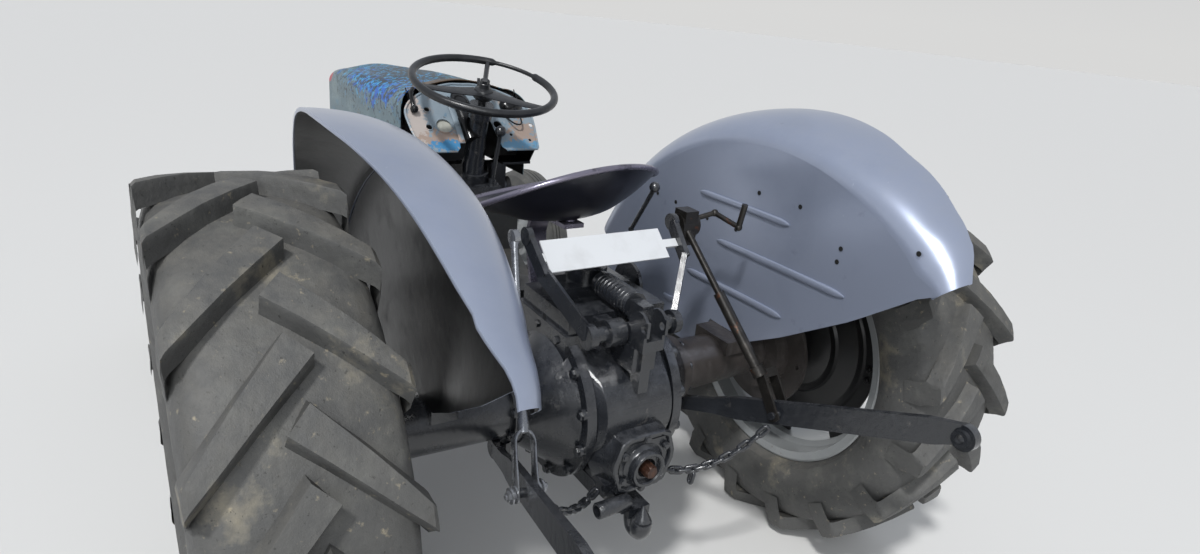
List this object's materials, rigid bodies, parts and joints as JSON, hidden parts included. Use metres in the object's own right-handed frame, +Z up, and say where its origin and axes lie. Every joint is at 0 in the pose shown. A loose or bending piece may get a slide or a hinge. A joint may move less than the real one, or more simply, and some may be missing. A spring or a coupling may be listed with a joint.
{
  "type": "vintage tractor",
  "caption": "Worn vintage farm tractor with open platform, pan seat, broad fenders, lugged rear tyres and a three-point lift linkage at the back.",
  "frame": {"origin": "on the ground, below the middle of the length and in the middle of the width", "axes": "+X forward along the tractor, +Y to the left wheel, +Z up; the axles lie along Y"},
  "size_m": [2.9, 1.948, 1.333],
  "materials": {
    "tyre": "worn tyre rubber with dried mud",
    "rim": "dull silver paint, rust at the edges",
    "running_gear": "oily dark grey paint",
    "casting": "rough casting with worn grey paint",
    "rusty_iron": "rust",
    "bonnet_paint": "worn blue-grey paint with streaks and rust",
    "dash_paint": "dusty grey paint",
    "oily_black": "glossy, oil-soaked black",
    "wheel_rubber": "worn black rim over steel spokes",
    "trumpet_iron": "rough brownish iron",
    "link_steel": "worn, partly rusty steel",
    "blank_plate": "white sheet with a dark frame",
    "seat_steel": "black with rubbed silver rim",
    "fender_paint": "silver grey paint, worn and stained"
  },
  "bodies": {
    "chassis": {"engine": "casting", "manifold": "rusty_iron", "radiator": "casting", "dash": "dash_paint", "gearbox": "casting", "steering_box": "oily_black", "control_levers": "oily_black", "footrests": "running_gear", "centre_housing": "oily_black", "trumpet_left": "trumpet_iron", "trumpet_right": "trumpet_iron", "hydraulic_cover": "oily_black", "top_rocker": "oily_black", "tow_hook": "oily_black", "seat": "seat_steel", "fender_left": "fender_paint", "fender_right": "fender_paint", "fender_panel_left": "fender_paint", "fender_panel_right": "fender_paint", "front_axle": "running_gear"},
    "rear_wheel_set_left": {"rear_wheel_left": "rim", "rear_tyre_left": "tyre"},
    "rear_wheel_set_right": {"rear_wheel_right": "rim", "rear_tyre_right": "tyre"},
    "front_wheel_set_left": {"front_wheel_left": "rim", "front_tyre_left": "tyre"},
    "front_wheel_set_right": {"front_wheel_right": "rim", "front_tyre_right": "tyre"},
    "knuckle_set_left": {"knuckle_left": "running_gear"},
    "knuckle_set_right": {"knuckle_right": "running_gear"},
    "drag_link_set_left": {"drag_link_left": "running_gear"},
    "drag_link_set_right": {"drag_link_right": "running_gear"},
    "drop_arm_set_left": {"drop_arm_left": "running_gear"},
    "drop_arm_set_right": {"drop_arm_right": "running_gear"},
    "bonnet_lid": {"bonnet": "bonnet_paint"},
    "steering_wheel_set": {"steering_wheel": "wheel_rubber"},
    "lift_arm_set": {"lift_arms": "oily_black", "rear_plate": "blank_plate"},
    "lift_rod_set_left": {"lift_rod_left": "link_steel"},
    "lift_rod_set_right": {"lift_rod_right": "link_steel"},
    "lower_link_set_left": {"lower_link_left": "oily_black"},
    "lower_link_set_right": {"lower_link_right": "oily_black"},
    "check_chain_set_left": {"check_chain_left": "oily_black"},
    "check_chain_set_right": {"check_chain_right": "oily_black"},
    "pto_set": {"pto_shaft": "rusty_iron"}
  },
  "joints": [
    {"name": "rear_wheel_left_spin", "type": "hinge", "parent": "chassis", "child": "rear_wheel_set_left", "pos_m": [-0.68, 0.808, 0.598], "axis": [0, 1, 0], "continuous": true},
    {"name": "rear_wheel_right_spin", "type": "hinge", "parent": "chassis", "child": "rear_wheel_set_right", "pos_m": [-0.68, -0.808, 0.598], "axis": [0, 1, 0], "continuous": true},
    {"name": "knuckle_left_steer", "type": "hinge", "parent": "chassis", "child": "knuckle_set_left", "pos_m": [1.098, 0.617, 0.352], "axis": [0, 0, 1], "range_deg": [-35, 35]},
    {"name": "knuckle_right_steer", "type": "hinge", "parent": "chassis", "child": "knuckle_set_right", "pos_m": [1.098, -0.617, 0.352], "axis": [0, 0, 1], "range_deg": [-35, 35]},
    {"name": "front_wheel_left_spin", "type": "hinge", "parent": "knuckle_set_left", "child": "front_wheel_set_left", "pos_m": [1.098, 0.735, 0.352], "axis": [0, 1, 0], "continuous": true},
    {"name": "front_wheel_right_spin", "type": "hinge", "parent": "knuckle_set_right", "child": "front_wheel_set_right", "pos_m": [1.098, -0.735, 0.352], "axis": [0, 1, 0], "continuous": true},
    {"name": "drag_link_left_ball", "type": "hinge", "parent": "knuckle_set_left", "child": "drag_link_set_left", "pos_m": [1.098, 0.467, 0.594], "axis": [0, 0, 1], "range_deg": [-36, 36]},
    {"name": "drag_link_right_ball", "type": "hinge", "parent": "knuckle_set_right", "child": "drag_link_set_right", "pos_m": [1.098, -0.467, 0.594], "axis": [0, 0, 1], "range_deg": [-36, 36]},
    {"name": "drop_arm_left_swing", "type": "hinge", "parent": "chassis", "child": "drop_arm_set_left", "pos_m": [0.2, 0.158, 0.902], "axis": [0, 1, 0], "range_deg": [-17.22, 17.22]},
    {"name": "drop_arm_right_swing", "type": "hinge", "parent": "chassis", "child": "drop_arm_set_right", "pos_m": [0.2, -0.158, 0.902], "axis": [0, 1, 0], "range_deg": [-17.22, 17.22]},
    {"name": "steering_wheel_turn", "type": "hinge", "parent": "chassis", "child": "steering_wheel_set", "pos_m": [0.061, 0, 1.268], "axis": [-0.2419, 0, 0.9703], "range_deg": [-430, 430]},
    {"name": "bonnet_tilt", "type": "hinge", "parent": "chassis", "child": "bonnet_lid", "pos_m": [1.176, 0, 0.616], "axis": [0, 1, 0], "range_deg": [0, 68]},
    {"name": "lower_link_left_lift", "type": "hinge", "parent": "chassis", "child": "lower_link_set_left", "pos_m": [-0.7, 0.285, 0.494], "axis": [0, -1, 0], "range_deg": [0, 34]},
    {"name": "lower_link_right_lift", "type": "hinge", "parent": "chassis", "child": "lower_link_set_right", "pos_m": [-0.7, -0.285, 0.494], "axis": [0, -1, 0], "range_deg": [0, 34]},
    {"name": "lift_arms_swing", "type": "hinge", "parent": "chassis", "child": "lift_arm_set", "pos_m": [-0.825, 0, 0.829], "axis": [0, -1, 0], "range_deg": [0, 98.6]},
    {"name": "lift_rod_left_foot", "type": "hinge", "parent": "lower_link_set_left", "child": "lift_rod_set_left", "pos_m": [-1.0096, 0.36498, 0.60709], "axis": [0, -1, 0], "range_deg": [-1, 8.8]},
    {"name": "lift_rod_right_foot", "type": "hinge", "parent": "lower_link_set_right", "child": "lift_rod_set_right", "pos_m": [-1.0096, -0.36498, 0.60709], "axis": [0, -1, 0], "range_deg": [-1, 8.8]},
    {"name": "check_chain_left_anchor", "type": "hinge", "parent": "chassis", "child": "check_chain_set_left", "pos_m": [-0.899, 0.114, 0.44], "axis": [0, -1, 0], "range_deg": [0, 69]},
    {"name": "check_chain_right_anchor", "type": "hinge", "parent": "chassis", "child": "check_chain_set_right", "pos_m": [-0.899, -0.114, 0.44], "axis": [0, -1, 0], "range_deg": [0, 69]},
    {"name": "pto_turn", "type": "hinge", "parent": "chassis", "child": "pto_set", "pos_m": [-0.899, 0, 0.512], "axis": [1, 0, 0], "continuous": true}
  ],
  "couplings": [
    {"joint": "knuckle_right_steer", "follows": "knuckle_left_steer", "ratio": 1},
    {"joint": "drag_link_left_ball", "follows": "knuckle_left_steer", "ratio": -1},
    {"joint": "drag_link_right_ball", "follows": "knuckle_left_steer", "ratio": -1},
    {"joint": "drop_arm_left_swing", "follows": "knuckle_left_steer", "ratio": 0.4634},
    {"joint": "drop_arm_right_swing", "follows": "knuckle_left_steer", "ratio": -0.4634},
    {"joint": "steering_wheel_turn", "follows": "knuckle_left_steer", "ratio": 12},
    {"joint": "lower_link_right_lift", "follows": "lower_link_left_lift", "ratio": 1},
    {"joint": "lift_arms_swing", "follows": "lower_link_left_lift", "ratio": 2.87},
    {"joint": "lift_rod_left_foot", "follows": "lower_link_left_lift", "ratio": 0.23},
    {"joint": "lift_rod_right_foot", "follows": "lower_link_left_lift", "ratio": 0.23},
    {"joint": "check_chain_left_anchor", "follows": "lower_link_left_lift", "ratio": 2},
    {"joint": "check_chain_right_anchor", "follows": "lower_link_left_lift", "ratio": 2}
  ]
}
